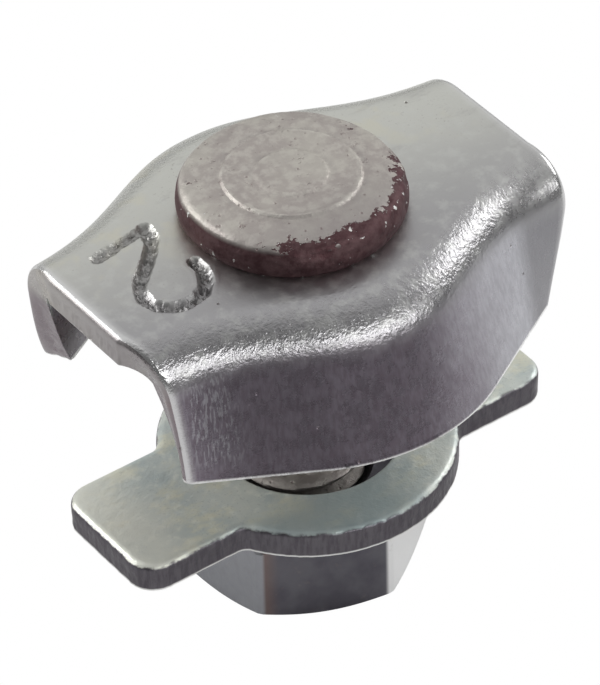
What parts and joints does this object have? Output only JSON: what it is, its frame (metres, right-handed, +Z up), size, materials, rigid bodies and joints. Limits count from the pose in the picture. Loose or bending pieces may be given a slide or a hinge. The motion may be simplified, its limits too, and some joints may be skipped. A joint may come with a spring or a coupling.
{
  "type": "wire rope clip",
  "caption": "Wire rope clip: a pressed bridge cap and a lugged clamp plate, drawn together on a domed-head screw by a hexagon nut to grip doubled thin wire rope.",
  "frame": {"origin": "middle of the nut's lower face, the lowest point with the clip open", "axes": "+X along the rope, +Y across the cap, +Z up along the screw towards its head"},
  "size_m": [0.015, 0.013, 0.0141],
  "materials": {
    "cap_zinc": "bright zinc plate over pressed steel",
    "screw_zinc": "dull zinc plate, worn to a dark maroon along the head's edge",
    "plate_zinc": "satin zinc plate with a faint yellow-green passivation",
    "nut_zinc": "zinc plate over rolled hexagon steel"
  },
  "bodies": {
    "bridge": {"bridge_cap": "cap_zinc", "clamp_screw": "screw_zinc"},
    "plate": {"clamp_plate": "plate_zinc"},
    "nut": {"hex_nut": "nut_zinc"}
  },
  "joints": [
    {"name": "plate_travel", "type": "slide", "parent": "bridge", "child": "plate", "axis": [0, 0, 1], "range_m": [0, 0.0056]},
    {"name": "nut_spin", "type": "hinge", "parent": "plate", "child": "nut", "pos_m": [0, 0, 0.0016], "axis": [0, 0, 1], "range_deg": [0, 2880]}
  ],
  "couplings": [
    {"joint": "nut_spin", "follows": "plate_travel", "rad_per_m": 8976}
  ]
}
